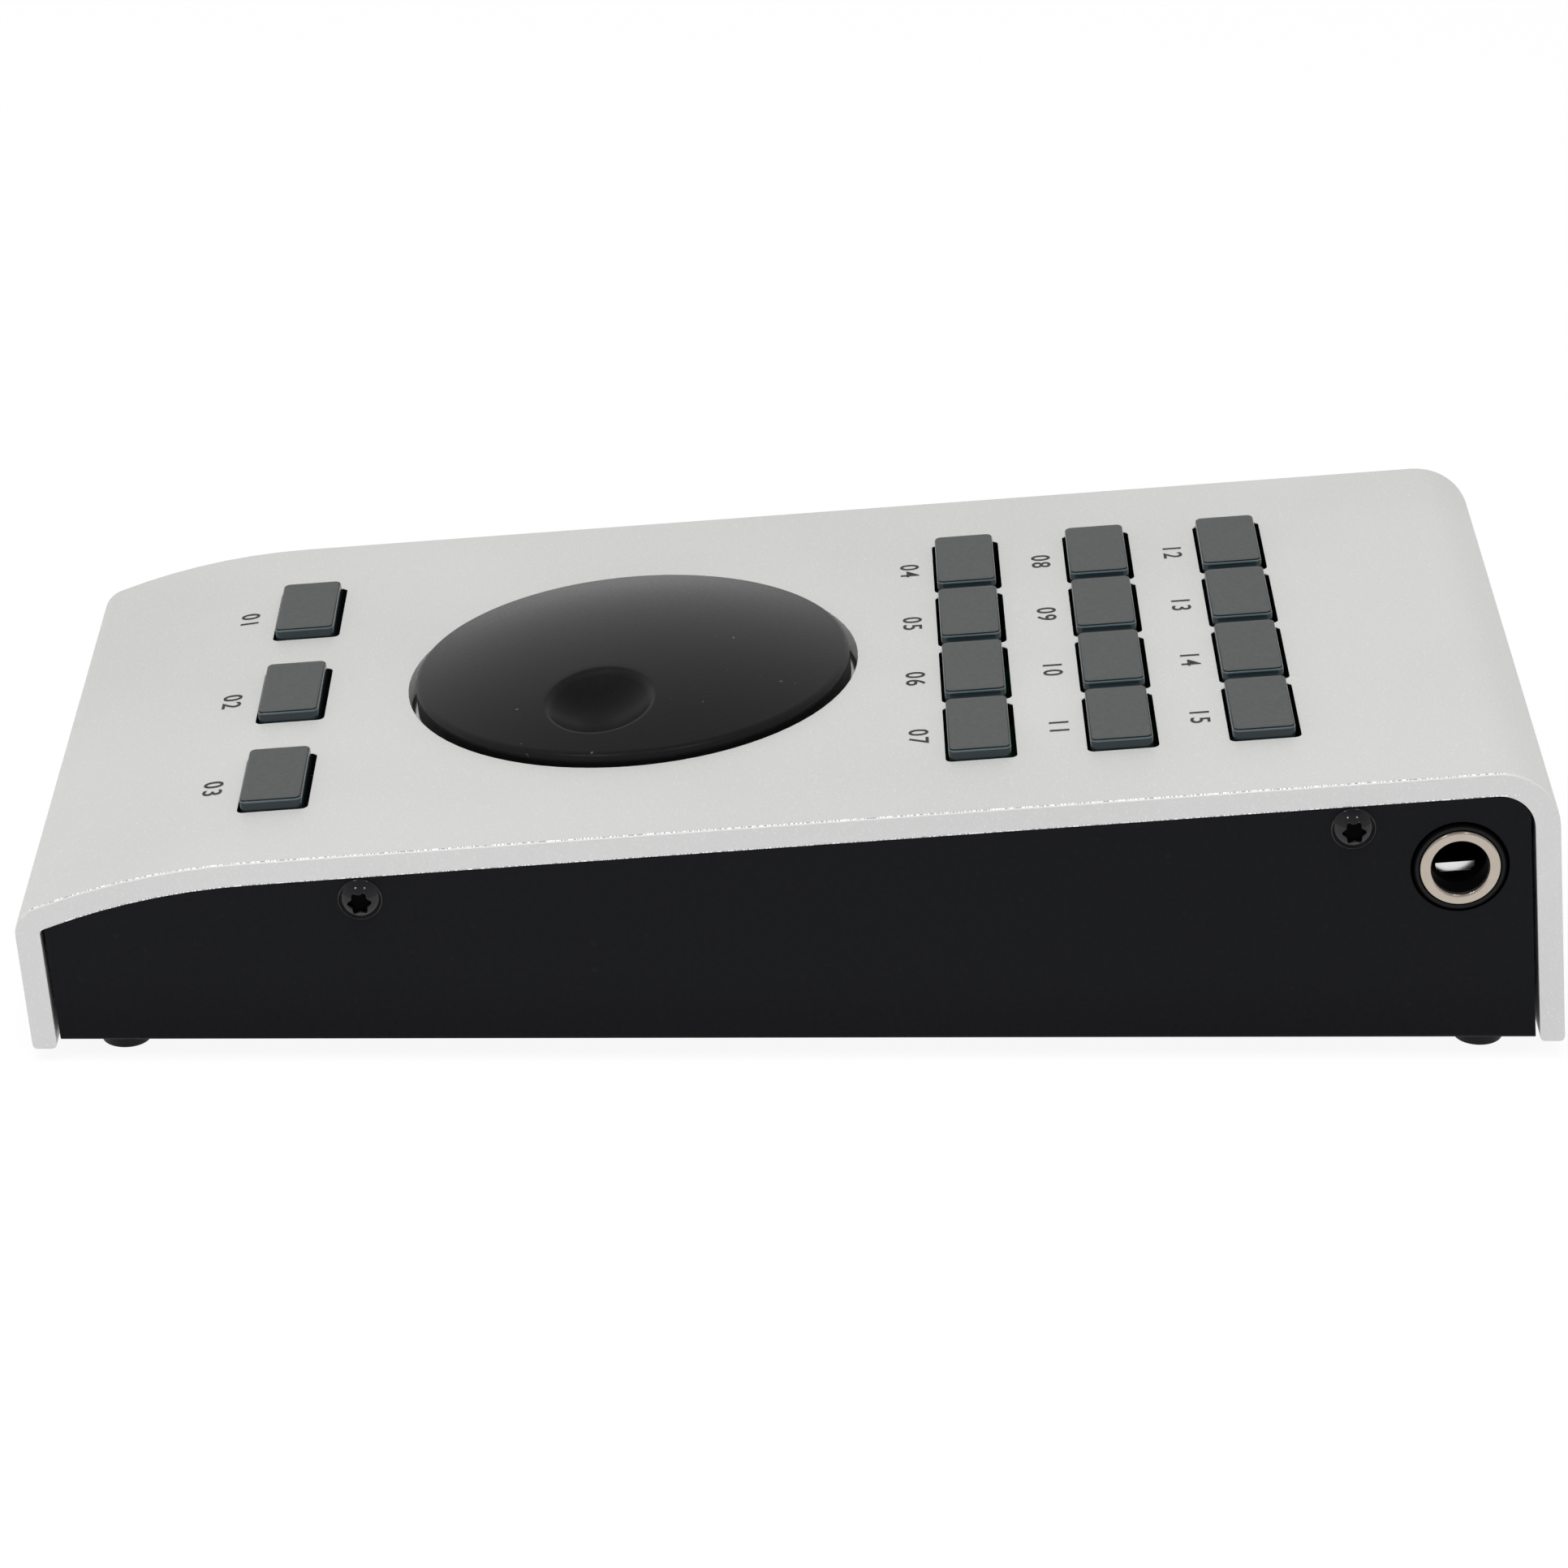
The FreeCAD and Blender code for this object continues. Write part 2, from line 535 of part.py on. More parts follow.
# Computer socket in the rear window
mouth_v = REAR_V - SOCKET_RECESS
shell = Part.makeBox(SOCKET_W, SOCKET_L, SOCKET_H,
                     Vector(SOCKET_X - SOCKET_W / 2, mouth_v - SOCKET_L, BOARD_TOP_N))
opening_n = BOARD_TOP_N + (SOCKET_H - SOCKET_OPENING_H) / 2
opening = Part.makeBox(SOCKET_OPENING_W, SOCKET_L - SOCKET_BACK, SOCKET_OPENING_H,
                       Vector(SOCKET_X - SOCKET_OPENING_W / 2,
                              mouth_v - SOCKET_L + SOCKET_BACK, opening_n))
shell = shell.cut(opening)
tongue = Part.makeBox(TONGUE_W, TONGUE_L, TONGUE_H,
                      Vector(SOCKET_X - TONGUE_W / 2, mouth_v - SOCKET_L + SOCKET_BACK,
                             opening_n + (SOCKET_OPENING_H - TONGUE_H) / 2))
save_tilted("socket_shell", [shell])
save_tilted("socket_tongue", [tongue])
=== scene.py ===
import bpy
import math
from mathutils import Matrix, Vector


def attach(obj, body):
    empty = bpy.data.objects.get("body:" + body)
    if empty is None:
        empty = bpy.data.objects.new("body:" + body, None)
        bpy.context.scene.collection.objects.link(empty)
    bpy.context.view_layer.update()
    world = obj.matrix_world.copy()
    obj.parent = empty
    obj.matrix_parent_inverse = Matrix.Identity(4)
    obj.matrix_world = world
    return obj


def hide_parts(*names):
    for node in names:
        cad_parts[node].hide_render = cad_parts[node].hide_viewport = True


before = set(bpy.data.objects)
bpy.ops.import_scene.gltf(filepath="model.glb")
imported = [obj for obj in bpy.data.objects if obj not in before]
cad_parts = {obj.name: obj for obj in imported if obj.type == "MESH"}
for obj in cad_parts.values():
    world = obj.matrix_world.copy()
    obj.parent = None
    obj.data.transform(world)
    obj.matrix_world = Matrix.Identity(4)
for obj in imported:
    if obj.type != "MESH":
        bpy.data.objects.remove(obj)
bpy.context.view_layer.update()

# Sizes are in millimetres on the plate's own axes: x to the right, v up the slope and
# n out of the plate. Materials measure in metres.
MM = 0.001
SLOPE = math.radians(4.42)
PLATE_Y = -1.28
PLATE_Z = 29.82
ALONG_X = (1, 0, 0)
ALONG_V = (0, math.cos(SLOPE), math.sin(SLOPE))
ALONG_N = (0, -math.sin(SLOPE), math.cos(SLOPE))
UP = (0, 0, 1)

# Case
PANEL_X = 44.71
COVER_T = 2.8
CURVE_V = -60.0
CURVE_R = 80.0
FRONT_V = -86.75
REAR_V = 86.2

# Keys
KEY_COUNT = 15
KEY_PITCH = 16.006
KEY_V = (54.81, 38.73, 22.66)
FRONT_KEY_V = -58.07
FRONT_KEY_PITCH = 24.08
KEY_CENTRE_X = 0.3
KEY_SHIFT_V = -0.13
KEY_SIZE = (14.15, 7.11)
KEY_PROUD = 1.3
KEY_FOOT_N = -3.66
KEY_WAIST_N = -0.4
KEY_CORNER_R = 0.75
KEY_TOP_R = 0.32
KEY_CORNER_STEPS = 5
KEY_TOP_STEPS = 5
KEY_FLAT_INSET = KEY_TOP_R + 0.5
KEY_FLAT_CORNER_R = 0.2

# Dial. It is drawn as wide as in the photograph, 0.4 mm more than its solid
DIAL_V = -17.69
DIAL_R = 25.8
DIAL_RIM_N = 1.15
DIAL_DOME = 4.0
DIAL_EDGE_R = 0.75
DIAL_WALL = 2.4
DIAL_SOFTEN = 0.2
DIAL_ROOF_N = -0.9
DIAL_SKIRT_N = -1.0
DIAL_FOOT_N = -2.3
DIAL_BOSS_R = 6.0
DIMPLE = (15.3, -3.2)
DIMPLE_R = 6.35
DIMPLE_DEPTH = 2.5
DIMPLE_LIP = 0.3
DIAL_AROUND = 192
DIMPLE_RINGS = 25
LIP_RINGS = 5
DOME_RINGS = 40
EDGE_RINGS = 8

# Side screws
SCREW_V = (-47.7, 63.2)
SCREW_N = -5.5
SCREW_HEAD_R = 2.5
SCREW_HEAD_T = 1.5
SCREW_SHANK_R = 1.05
# Radius, and height above the panel, of the rings from the shank's end to the dome
SCREW_FOOT = ((SCREW_SHANK_R, -6), (SCREW_SHANK_R, -0.02), (SCREW_HEAD_R - 0.15, 0),
              (SCREW_HEAD_R, 0.12))
SCREW_DOME_LOW = 0.16
SOCKET_R = 1.18
SOCKET_LOBE = 0.17
SOCKET_LOBES = 6
SOCKET_RIM_R = math.sqrt(1.2)
SOCKET_LIP = 0.08
SOCKET_LIP_DROP = 0.06
SOCKET_TAPER = 0.02
SOCKET_FLOOR = 0.35
SOCKET_CONE_R = 0.55
SOCKET_CONE_FLOOR = 0.15
SCREW_AROUND = 96
SCREW_RINGS = 14

# Footswitch jack
JACK_V = 74.9
JACK_N = -11.2
FERRULE_X = PANEL_X + 0.55
FERRULE_R = 4.55
FERRULE_L = 3.2
FERRULE_EDGE_R = 0.35
FERRULE_BORE_R = 3.25
MOUTH_FLARE = 0.47
MOUTH_DEPTH = 0.3
FERRULE_AROUND = 96
FERRULE_STEPS = 5

# Plate print
PRINT_N = 0.045
PRINT_SIZE = 3.2
PRINT_OFFSET = 0.03
PRINT_SPACING = 1.2
PRINT_STRETCH = 1.1
FRONT_PRINT_GAP = 7.6
ROW_PRINT_GAP = 7.1

# Materials: the span that holds nearly all values of a noise, the depth of a fine grain in
# metres, and the angle in degrees above which an edge of a solid stays sharp
NOISE_SPAN = (0.3, 0.7)
FINE_GRAIN = 0.00003
SOLID_SHARP = 24

# Spans over which a material changes along the solids
INSIDE_FRONT_LEG_V = (FRONT_V + 4, FRONT_V + 6)
INSIDE_REAR_LEG_V = (REAR_V - 6, REAR_V - 4)
LOWER_EDGE_STARTS = (COVER_T - 0.13, COVER_T - 0.08)
LOWER_EDGE_ENDS = (COVER_T + 0.02, COVER_T + 0.05)
UNDER_SKIN = (COVER_T, COVER_T + 0.2)
CHAMFER_DEPTH = (0.07, 0.1)
WINDOWS_END_X = (36, 38)
DIAL_HOLE_END_V = (30, 31)
PANEL_FOOT_Z = (4, 11)
WELL_BEYOND_R = (26.05, 26.25)
JACK_DEEP_X = (42.5, 43.7)
JACK_NOSE_WALL_R = (4.95, 5.05)
BORE_DARK_R = (3.4, 3.5)
BORE_DARK_X = (44.76, 44.84)
LEAF_FOOT_N = (-14.42, -14.36)
SOCKET_SUNK_X = (PANEL_X + 0.9, PANEL_X + 1.05)
SOCKET_DARK_R = (1.35, 1.42)
DIMPLE_DULL_R = (DIMPLE_R - 0.8, DIMPLE_R - 0.1)
RIM_DULL_N = (DIAL_RIM_N - 0.25, DIAL_RIM_N + 0.2)

# Camera, fitted to the photograph, in millimetres and degrees
EYE = (581.5, -0.85, 289.99)
YAW, PITCH, ROLL = 0.02, 25.43, -0.11
LENS = 123.42
SENSOR = 36.0

# Floor and lamps, in metres
FLOOR_HALF = 6.0
FLOOR_GLOW = 0.92
LAMP_TARGET = (0, 0, 0.02)

TILT = (Matrix.Translation((0, PLATE_Y * MM, PLATE_Z * MM))
        @ Matrix.Rotation(SLOPE, 4, "X") @ Matrix.Scale(MM, 4))


def mm(*values):
    """Millimetres as metres."""
    return tuple(value * MM for value in values)


def srgb(r, g, b):
    """An sRGB colour of 0 to 255 as linear values."""
    def lin(c):
        c /= 255
        return c / 12.92 if c <= 0.04045 else ((c + 0.055) / 1.055) ** 2.4
    return (lin(r), lin(g), lin(b), 1)


def full_turn(count):
    """Angles of so many even steps round a circle."""
    return [2 * math.pi * i / count for i in range(count)]


class Mat:
    """A material and short calls that add nodes to it."""

    def __init__(self, name):
        self.mat = bpy.data.materials.new(name)
        self.mat.use_nodes = True
        self.tree = self.mat.node_tree
        self.bsdf = self.tree.nodes["Principled BSDF"]
        self.coord = self.add("ShaderNodeTexCoord").outputs["Object"]

    def add(self, kind, inputs=None, **props):
        node = self.tree.nodes.new(kind)
        for key, value in props.items():
            setattr(node, key, value)
        for key, value in (inputs or {}).items():
            self.put(node.inputs[key], value)
        return node

    def put(self, socket, value):
        if isinstance(value, bpy.types.NodeSocket):
            self.tree.links.new(value, socket)
        else:
            socket.default_value = value

    def set(self, **values):
        """Set the shader's own sockets."""
        for key, value in values.items():
            self.put(self.bsdf.inputs[key.replace("_", " ")], value)

    def noise(self, scale, detail=2.0, rough=0.5, vector=None):
        inputs = {"Vector": vector or self.coord, "Scale": scale, "Detail": detail,
                  "Roughness": rough}
        return self.add("ShaderNodeTexNoise", inputs).outputs["Fac"]

    def ramp(self, value, low, high, out_low=0, out_high=1):
        inputs = {"Value": value, "From Min": low, "From Max": high, "To Min": out_low,
                  "To Max": out_high}
        return self.add("ShaderNodeMapRange", inputs).outputs["Result"]

    def fade(self, value, span, out_low=0, out_high=1):
        """A ramp over a span that is given in millimetres."""
        return self.ramp(value, *mm(*span), out_low, out_high)

    def spread(self, grain, low, high):
        """A noise spread out between two values."""
        return self.ramp(grain, *NOISE_SPAN, low, high)

    def pick(self, mask, outside, inside):
        """One value outside a mask and another inside it."""
        return self.ramp(mask, 0, 1, outside, inside)

    def mix(self, factor, a, b):
        node = self.add("ShaderNodeMix", data_type="RGBA")
        self.put(node.inputs["Factor"], factor)
        self.put(node.inputs["A"], a)
        self.put(node.inputs["B"], b)
        return node.outputs["Result"]

    def speckled(self, grain, dark, light):
        """Two colours mixed by a noise."""
        return self.mix(self.spread(grain, 0, 1), dark, light)

    def math(self, kind, a, b=0.0):
        node = self.add("ShaderNodeMath", operation=kind)
        self.put(node.inputs[0], a)
        self.put(node.inputs[1], b)
        return node.outputs[0]

    def less(self, a, b):
        return self.math("SUBTRACT", a, b)

    def size(self, value):
        return self.math("ABSOLUTE", value)

    def most(self, *values):
        """The largest of several values."""
        largest = values[0]
        for value in values[1:]:
            largest = self.math("MAXIMUM", largest, value)
        return largest

    def times(self, *factors):
        """The product of several values."""
        product = factors[0]
        for factor in factors[1:]:
            product = self.math("MULTIPLY", product, factor)
        return product

    def distance(self, a, b):
        """Length of the vector that has the parts a and b."""
        return self.math("SQRT", self.math("ADD", self.times(a, a), self.times(b, b)))

    def dot(self, vector, axis):
        node = self.add("ShaderNodeVectorMath", operation="DOT_PRODUCT")
        self.put(node.inputs[0], vector)
        node.inputs[1].default_value = axis
        return node.outputs["Value"]

    def along(self, axis):
        return self.dot(self.coord, axis)

    def plate_axes(self):
        """v and n of the shaded point on the plate's axes, in metres."""
        base = Vector((0, PLATE_Y * MM, PLATE_Z * MM))
        return [self.less(self.along(axis), base.dot(Vector(axis))) for axis in (ALONG_V, ALONG_N)]

    def true_normal(self):
        return self.add("ShaderNodeNewGeometry").outputs["True Normal"]

    def bump(self, height, distance, strength):
        inputs = {"Height": height, "Distance": distance, "Strength": strength}
        return self.add("ShaderNodeBump", inputs).outputs["Normal"]


def place(name, verts, faces, material, body, angle, replaces=()):
    """A mesh piece drawn in millimetres on the plate's axes."""
    mesh = bpy.data.meshes.new(name)
    mesh.from_pydata([TILT @ Vector(v) for v in verts], [], faces)
    mesh.validate()
    mesh.shade_smooth()
    mesh.set_sharp_from_angle(angle=math.radians(angle))
    mesh.materials.append(material)
    obj = bpy.data.objects.new(name, mesh)
    bpy.context.scene.collection.objects.link(obj)
    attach(obj, body)
    if replaces:
        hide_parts(*replaces)
    return obj


class Shell:
    """Closed loops of the same number of points, skinned one after another."""

    def __init__(self):
        self.verts, self.faces, self.last, self.count = [], [], None, 0

    def skin(self, first, second):
        """Faces between two loops, which are given by their first points."""
        for i in range(self.count):
            j = (i + 1) % self.count
            self.faces.append((first + i, first + j, second + j, second + i))

    def loop(self, points):
        start = len(self.verts)
        self.verts += points
        self.count = len(points)
        if self.last is not None:
            self.skin(self.last, start)
        self.last = start

    def start_from(self, point):
        """A fan between a point and the first loop."""
        tip = len(self.verts)
        self.verts.append(point)
        self.faces += [(tip, i, (i + 1) % self.count) for i in range(self.count)]

    def close_ends(self):
        self.close_end()
        self.faces.append(tuple(reversed(range(self.count))))

    def close_end(self):
        self.faces.append(tuple(range(self.last, self.last + self.count)))

    def close_ring(self):
        self.skin(self.last, 0)


def key_places():
    """x and v of every key's window, from the front row to the rear."""
    places = [(KEY_CENTRE_X + i * FRONT_KEY_PITCH, FRONT_KEY_V) for i in (-1, 0, 1)]
    for row in reversed(KEY_V):
        places += [(KEY_CENTRE_X + (i - 1.5) * KEY_PITCH, row) for i in range(4)]
    return places


def rounded_loop(x, v, size_x, size_v, radius, n):
    """A rectangle with round corners."""
    points = []
    for cx, cv, start in ((1, 1, 0), (-1, 1, 90), (-1, -1, 180), (1, -1, 270)):
        for i in range(KEY_CORNER_STEPS + 1):
            a = math.radians(start + 90 * i / KEY_CORNER_STEPS)
            points.append((x + cx * (size_x / 2 - radius) + radius * math.cos(a),
                           v + cv * (size_v / 2 - radius) + radius * math.sin(a), n))
    return points


# Materials
def cover_material():
    """Blasted aluminium with painted highlight dashes on the cut edge, painted shade on the flanks
    and in the dark key windows, and painted light in the dial hole.
    """
    m = Mat("cover_aluminium")
    grain = m.noise(2600, 3, 0.6)
    speck = m.noise(4200, 1, 0.5)
    cloud = m.noise(22, 2)
    tone = m.mix(m.ramp(cloud, 0.35, 0.65), srgb(202, 202, 200), srgb(207, 207, 205))
    tone = m.mix(m.ramp(speck, 0.58, 0.78, 0, 0.5), tone, srgb(232, 232, 232))
    normal = m.true_normal()
    across = m.size(m.add("ShaderNodeSeparateXYZ", {"Vector": normal}).outputs["X"])
    flank = m.ramp(across, 0.93, 0.99)
    # Painted shade: the flanks, which face the sides, are painted a little darker
    tone = m.mix(m.times(flank, 0.3), tone, srgb(184, 184, 188))
    # Depth under the outer skin, on the flat and on the front curve
    v, n = m.plate_axes()
    ahead = m.math("MINIMUM", m.less(v, CURVE_V * MM), 0.0)
    depth = m.less(CURVE_R * MM, m.distance(ahead, m.math("ADD", n, CURVE_R * MM)))
    between_legs = m.times(m.fade(v, INSIDE_FRONT_LEG_V), m.fade(v, INSIDE_REAR_LEG_V, 1, 0))
    # The lower rim of the cut edge between the legs, for a painted highlight line
    low = m.times(m.fade(depth, LOWER_EDGE_STARTS), m.fade(depth, LOWER_EDGE_ENDS, 1, 0),
                  between_legs)
    # Walls of the key windows, painted near black as painted shade, and the wall of the dial hole,
    # painted near white as painted light
    wall = m.ramp(m.size(m.dot(normal, ALONG_N)), 0.3, 0.6, 1, 0)
    inboard = m.times(m.fade(m.size(m.along(ALONG_X)), WINDOWS_END_X, 1, 0), between_legs)
    away = m.fade(m.size(m.less(v, DIAL_V * MM)), DIAL_HOLE_END_V)
    skin = m.fade(depth, UNDER_SKIN, 1, 0)
    window = m.times(wall, inboard, away, skin)
    # Painted shade on the walls of the key windows
    tone = m.mix(window, tone, srgb(14, 14, 15))
    # Painted light on the wall of the dial hole
    hole = m.times(wall, inboard, m.less(1.0, away))
    tone = m.mix(hole, tone, srgb(246, 246, 245))
    # Painted highlights: bright dashes with darker gaps along the chamfer and the lower rim of the
    # cut edge
    chamfer = m.times(m.ramp(across, 0.45, 0.6), m.ramp(across, 0.8, 0.92, 1, 0),
                      m.fade(depth, CHAMFER_DEPTH, 1, 0))
    edge = m.most(chamfer, m.times(flank, low))
    stretch = m.add("ShaderNodeMapping", {"Vector": m.coord, "Scale": (0.2, 1, 0.2)})
    dashes = m.ramp(m.noise(4800, 2, 0.6, stretch.outputs["Vector"]), 0.47, 0.56)
    tone = m.mix(edge, tone, m.mix(dashes, srgb(150, 150, 154), srgb(250, 250, 250)))
    # The painted light and shade are left without metal
    painted_light_and_shade = m.most(m.times(edge, dashes), window, hole)
    m.set(Base_Color=tone, Metallic=m.pick(painted_light_and_shade, 0.3, 0), Roughness=m.spread(grain, 0.42, 0.54),
          Normal=m.bump(grain, 0.00006, 0.6))
    return m.mat


def powder_material():
    """Black powder coat with pale flecks, darker towards the panels' foot."""
    m = Mat("panel_powder_coat")
    grain = m.noise(1500, 2, 0.55)
    fleck = m.noise(900, 1, 0.5)
    tone = m.mix(m.ramp(fleck, 0.70, 0.84, 0, 0.2), srgb(13, 14, 17), srgb(36, 38, 42))
    foot = m.fade(m.along(UP), PANEL_FOOT_Z, 0.55, 0)
    tone = m.mix(foot, tone, srgb(4, 4, 6))
    m.set(Base_Color=tone, Roughness=m.spread(grain, 0.50, 0.62), Specular_IOR_Level=0.11,
          Normal=m.bump(grain, 0.00005, 0.5))
    return m.mat


def plain_material(name, colour, roughness, metallic=0.0, scale=900, bump=0.3, spread=0.08,
                   gloss=0.5):
    """One colour with a fine grain in its tone, roughness and height."""
    m = Mat(name)
    grain = m.noise(scale, 3)
    dark = tuple(c * (1 - spread) for c in colour[:3]) + (1,)
    m.set(Base_Color=m.speckled(grain, dark, colour), Metallic=metallic,
          Roughness=m.spread(grain, roughness * 0.92, roughness * 1.08),
          Specular_IOR_Level=gloss, Normal=m.bump(grain, FINE_GRAIN, bump))
    return m.mat


def well_material():
    """Bright metal in the gap round the dial, painted dark as painted shade out past the hole's
    edge.
    """
    m = Mat("well_bright")
    radius = m.distance(m.along(ALONG_X), m.less(m.plate_axes()[0], DIAL_V * MM))
    # Painted shade on the ring's outer part, along the wall of the hole
    painted_shade_past_hole = m.fade(radius, WELL_BEYOND_R)
    metal = m.speckled(m.noise(900, 2), srgb(196, 196, 195), srgb(222, 222, 220))
    m.set(Base_Color=m.mix(painted_shade_past_hole, metal, srgb(20, 20, 21)), Roughness=0.4)
    return m.mat


def from_jack(m):
    """Distance of the shaded point from the jack's axis, in metres."""
    v, n = m.plate_axes()
    return m.distance(m.less(v, JACK_V * MM), m.less(n, JACK_N * MM))


def jack_material():
    """Black plastic, nearly without light deep inside and on the nose's outer wall."""
    m = Mat("jack_black_plastic")
    grain = m.noise(1500, 3)
    unlit = m.most(m.fade(m.along(ALONG_X), JACK_DEEP_X, 1, 0),
                   m.fade(from_jack(m), JACK_NOSE_WALL_R))
    tone = m.speckled(grain, srgb(8, 9, 11), srgb(11, 12, 15))
    m.set(Base_Color=m.mix(unlit, tone, srgb(5, 5, 6)), Roughness=m.pick(unlit, 0.38, 0.7),
          Specular_IOR_Level=m.pick(unlit, 0.18, 0.04), Normal=m.bump(grain, FINE_GRAIN, 0.3))
    return m.mat


def half_dark_metal(name, dark, light, roughness, dark_part):
    """Metal that is black where the mask made by the function dark_part is 1."""
    m = Mat(name)
    grain = m.noise(500, 3)
    mask = dark_part(m)
    m.set(Base_Color=m.mix(mask, m.speckled(grain, dark, light), srgb(6, 6, 7)),
          Metallic=m.pick(mask, 1, 0), Roughness=m.pick(mask, roughness, 0.6),
          Specular_IOR_Level=0.1, Normal=m.bump(grain, FINE_GRAIN, 0.1))
    return m.mat


def ferrule_bore(m):
    return m.times(m.fade(from_jack(m), BORE_DARK_R, 1, 0),
                   m.fade(m.along(ALONG_X), BORE_DARK_X, 1, 0))


# Painted shade: the contact is painted black below a level line, under its lit bar
def leaf_foot_painted_shade(m):
    return m.fade(m.plate_axes()[1], LEAF_FOOT_N, 1, 0)


def screw_material():
    """Black oxide, with the inside of the socket painted near black as painted shade and left
    dull.
    """
    m = Mat("screw_black_oxide")
    grain = m.noise(700, 3)
    middle = (SCREW_V[0] + SCREW_V[1]) / 2 * MM
    half = (SCREW_V[1] - SCREW_V[0]) / 2 * MM
    v, n = m.plate_axes()
    radius = m.distance(m.less(m.size(m.less(v, middle)), half), m.less(n, SCREW_N * MM))
    sunk = m.fade(m.size(m.along(ALONG_X)), SOCKET_SUNK_X, 1, 0)
    # Painted shade: the inside of the socket is painted near black
    socket = m.times(sunk, m.fade(radius, SOCKET_DARK_R, 1, 0))
    tone = m.speckled(grain, srgb(17, 17, 19), srgb(21, 21, 23))
    m.set(Base_Color=m.mix(socket, tone, srgb(3, 3, 3)), Roughness=m.pick(socket, 0.08, 0.6),
          Specular_IOR_Level=m.pick(socket, 0.36, 0.05), Normal=m.bump(grain, FINE_GRAIN, 0.25))
    return m.mat


def dial_material():
    """Satin black with a little dust, duller in the dimple and on the rim."""
    m = Mat("dial_black_satin")
    grain = m.noise(2400, 3, 0.6)
    dust = m.noise(1500, 0, 0.5)
    tone = m.mix(m.ramp(grain, 0.35, 0.65), srgb(9, 9, 10), srgb(13, 13, 14))
    tone = m.mix(m.ramp(dust, 0.86, 0.90, 0, 0.6), tone, srgb(90, 90, 88))
    v, n = m.plate_axes()
    from_dimple = m.distance(m.less(m.along(ALONG_X), DIMPLE[0] * MM),
                             m.less(v, (DIAL_V + DIMPLE[1]) * MM))
    dimple = m.fade(from_dimple, DIMPLE_DULL_R, 0.28, 0.5)
    rim = m.fade(n, RIM_DULL_N, 0.4, 1)
    m.set(Base_Color=tone, Roughness=m.spread(grain, 0.31, 0.37),
          Specular_IOR_Level=m.times(dimple, rim), Normal=m.bump(grain, 0.00004, 0.3))
    return m.mat


def key_material():
    """Grey face and dark walls, with a painted highlight band and a painted dark reflection line
    on the round edge between them.
    """
    m = Mat("key_grey")
    grain = m.noise(1900, 2)
    rise = m.dot(m.true_normal(), ALONG_N)
    top = m.ramp(rise, 0.93, 0.985)
    # Painted highlight: a paler band on the lower part of the round top edge
    side = m.mix(m.ramp(rise, 0.05, 0.2), srgb(29, 40, 44), srgb(80, 94, 99))
    # Painted dark reflection: a dark line on the upper part of the round top edge
    side = m.mix(m.ramp(rise, 0.5, 0.62), side, srgb(12, 20, 22))
    face = m.speckled(grain, srgb(66, 68, 67), srgb(73, 75, 74))
    m.set(Base_Color=m.mix(top, side, face), Roughness=m.pick(top, 0.22, 0.44),
          Normal=m.bump(grain, 0.00002, 0.25))
    return m.mat


cover_mat = cover_material()
powder_mat = powder_material()
dial_mat = dial_material()
key_mat = key_material()
screw_mat = screw_material()
jack_mat = jack_material()
well_mat = well_material()
nickel_mat = half_dark_metal("ferrule_nickel", srgb(185, 175, 163), srgb(190, 180, 168), 0.24,
                             ferrule_bore)
leaf_mat = half_dark_metal("contact_silver", srgb(248, 248, 247), srgb(253, 253, 252), 0.14,
                           leaf_foot_painted_shade)
rubber_mat = plain_material("foot_rubber", srgb(7, 7, 8), 0.5, scale=1300, bump=0.5, gloss=0.22)
steel_mat = plain_material("socket_steel", srgb(190, 190, 190), 0.30, metallic=1.0, scale=600,
                           bump=0.2, spread=0.06)
tongue_mat = plain_material("socket_tongue_white", srgb(225, 225, 222), 0.45, bump=0.2)
board_mat = plain_material("board_green", srgb(20, 84, 48), 0.35, scale=500, bump=0.2,
                           spread=0.25)
brass_mat = plain_material("pillar_brass", srgb(200, 172, 104), 0.28, metallic=1.0, scale=500,
                           bump=0.2)
zinc_mat = plain_material("screw_zinc", srgb(180, 182, 184), 0.32, metallic=1.0, scale=500,
                          bump=0.2)
inner_mat = plain_material("inner_black_plastic", srgb(28, 28, 28), 0.45)
lamp_mat = plain_material("lamp_lens", srgb(225, 225, 215), 0.2, scale=500, bump=0.1)
print_mat = plain_material("plate_print", srgb(44, 44, 45), 0.5, scale=1500, bump=0.2)
parts_mat = plain_material("small_parts", srgb(120, 112, 100), 0.4, scale=700, bump=0.2,
                           spread=0.3)
alu_mat = plain_material("block_aluminium", srgb(195, 195, 195), 0.35, metallic=1.0, scale=700)

# Solids that are shown as they are, with their material
CARRIED = {
    "top_cover": cover_mat, "base_tray": powder_mat, "cover_blocks": alu_mat,
    "rubber_feet": rubber_mat, "main_board": board_mat, "board_pillars": brass_mat,
    "board_screws": zinc_mat, "key_switches": inner_mat, "key_lamps": lamp_mat,
    "encoder_body": inner_mat, "encoder_bushing": steel_mat, "control_chip": inner_mat,
    "board_parts": parts_mat, "jack_housing": jack_mat, "jack_contact": leaf_mat,
    "dial_well": well_mat, "socket_shell": steel_mat, "socket_tongue": tongue_mat,
    "dial_hub": inner_mat, "dial_hub_screws": zinc_mat, "encoder_shaft": steel_mat,
}
for number in range(1, KEY_COUNT + 1):
    CARRIED["plunger_%02d" % number] = inner_mat
for node, material in CARRIED.items():
    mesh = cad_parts[node].data
    mesh.materials.clear()
    mesh.materials.append(material)
    mesh.shade_smooth()
    mesh.set_sharp_from_angle(angle=math.radians(SOLID_SHARP))


